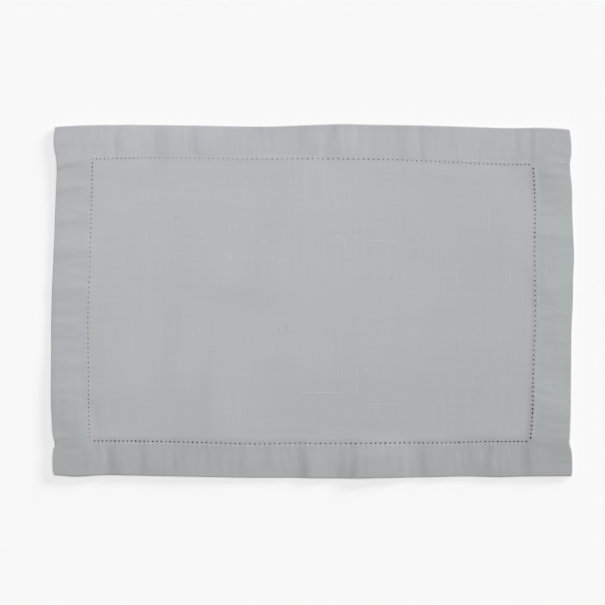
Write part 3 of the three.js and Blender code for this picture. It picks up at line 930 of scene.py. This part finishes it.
# %% Floor
FLOOR_HALF, FLOOR_DROP, FLOOR_GREY = 6.0, -0.0001, 0.93
floor_mesh = bpy.data.meshes.new("pale_floor")
reach = np.array([[-1, -1], [1, -1], [1, 1], [-1, 1]]) * FLOOR_HALF
floor_mesh.from_pydata(np.column_stack([reach, np.full(4, FLOOR_DROP)]).tolist(), [], [[0, 1, 2, 3]])
floor = bpy.data.objects.new("pale_floor", floor_mesh)
bpy.context.scene.collection.objects.link(floor)
floor_finish = bpy.data.materials.new("matte_white")
floor_finish.use_nodes = True
floor_shader = floor_finish.node_tree.nodes["Principled BSDF"]
floor_shader.inputs["Base Color"].default_value = (FLOOR_GREY, FLOOR_GREY, FLOOR_GREY, 1)
floor_shader.inputs["Roughness"].default_value = 1.0
floor_shader.inputs["Specular IOR Level"].default_value = 0.0
floor_mesh.materials.append(floor_finish)
floor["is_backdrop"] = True
print("floor", 2 * FLOOR_HALF, "m across")

# %% Sky and suns
SKY = 0.22
scene = bpy.context.scene
scene.view_settings.view_transform = "Standard"
sky = bpy.data.worlds.new("even_sky")
sky.use_nodes = True
sky.node_tree.nodes["Background"].inputs["Color"].default_value = (1, 1, 1, 1)
sky.node_tree.nodes["Background"].inputs["Strength"].default_value = SKY
scene.world = sky


def sun(name, azimuth, elevation, share, spread):
    """A sun that comes from azimuth degrees, turning from +X towards +Y, at elevation degrees, and adds
    share to the light on level ground: its strength is share x pi / sin(elevation)."""
    lamp = bpy.data.lights.new(name, "SUN")
    lamp.energy = share * math.pi / math.sin(math.radians(elevation))
    lamp.angle = math.radians(spread)
    made = bpy.data.objects.new(name, lamp)
    made.rotation_euler = (0, math.radians(90 - elevation), math.radians(azimuth))
    scene.collection.objects.link(made)
    return made


LOW_SUN, LOW_SPREAD = (38, 6.9), 8
HIGH_SUN, HIGH_SPREAD = (60, 78), 75
LOW_SHARE, CLOTH_SHARE, HIGH_SHARE, FLOOR_SHARE = 0.13, 0.07, 0.33, 0.33
sun("low_soft_sun", *LOW_SUN, LOW_SHARE, LOW_SPREAD)
cloth_sun = sun("cloth_low_sun", *LOW_SUN, CLOTH_SHARE, LOW_SPREAD)
sun("high_soft_sun", *HIGH_SUN, HIGH_SHARE, HIGH_SPREAD)
floor_sun = sun("floor_soft_sun", *HIGH_SUN, FLOOR_SHARE, HIGH_SPREAD)
print("level light on the floor:", SKY + LOW_SHARE + HIGH_SHARE + FLOOR_SHARE)

# %% One light for the floor alone and two for the cloth alone
UPPER_PLACE, UPPER_SIZE = (-0.1, 0.6, 0.7), 0.3
UPPER_POWER, UPPER_COLOUR = 3.6, (0.833, 0.833, 1.0)
cloth_light = bpy.data.lights.new("upper_light", "AREA")
cloth_light.shape, cloth_light.size = "DISK", UPPER_SIZE
cloth_light.energy = UPPER_POWER
cloth_light.color = UPPER_COLOUR
cloth_lamp = bpy.data.objects.new("upper_light", cloth_light)
cloth_lamp.location = UPPER_PLACE
aim = np.array(cloth_lamp.location) * -1
tilt = math.acos(-aim[2] / np.linalg.norm(aim))
heading = math.atan2(aim[1], aim[0]) - math.pi / 2
cloth_lamp.rotation_euler = (tilt, 0, heading)
scene.collection.objects.link(cloth_lamp)


def light_only(lamp, pieces):
    """Lets a lamp reach the given pieces and no others."""
    lit = bpy.data.collections.new("lit_by_" + lamp.name)
    for piece in pieces:
        lit.objects.link(piece)
    lamp.light_linking.receiver_collection = lit


PIECES = (folded_cloth, stitch_thread, slubs, shade_painted_slubs)
light_only(cloth_lamp, PIECES)
light_only(cloth_sun, PIECES)
light_only(floor_sun, (floor,))

# %% Camera
PIXELS, PIXEL = 605, 0.91726 / 1000
HEIGHT, SENSOR = 2.5, 36.0
CAMERA_X, CAMERA_Y = -0.00903, -0.00069
lens = bpy.data.cameras.new("overhead_camera")
lens.sensor_width = SENSOR
lens.lens = SENSOR * HEIGHT / (PIXELS * PIXEL)
camera = bpy.data.objects.new("overhead_camera", lens)
camera.location = (CAMERA_X, CAMERA_Y, HEIGHT)
scene.collection.objects.link(camera)
scene.camera = camera
print(f"a {lens.lens:.0f} mm lens from {HEIGHT} m")

# %% [markdown]
# ## Hand over to the frame
#
# Every piece rides on the mat's one body and takes the place of its solid.

for piece in PIECES:
    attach(piece, "root")
    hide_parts("mat_cloth")
print("declared", [piece.name for piece in PIECES])

# %% Both boxes, and finish
low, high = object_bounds()
boxes = {"cad": [list(map(float, cad_low)), list(map(float, cad_high))],
         "visual": [list(map(float, low)), list(map(float, high))]}
print("visual box, in millimetres:", np.round(np.array(boxes["visual"]) * 1000, 2).tolist())
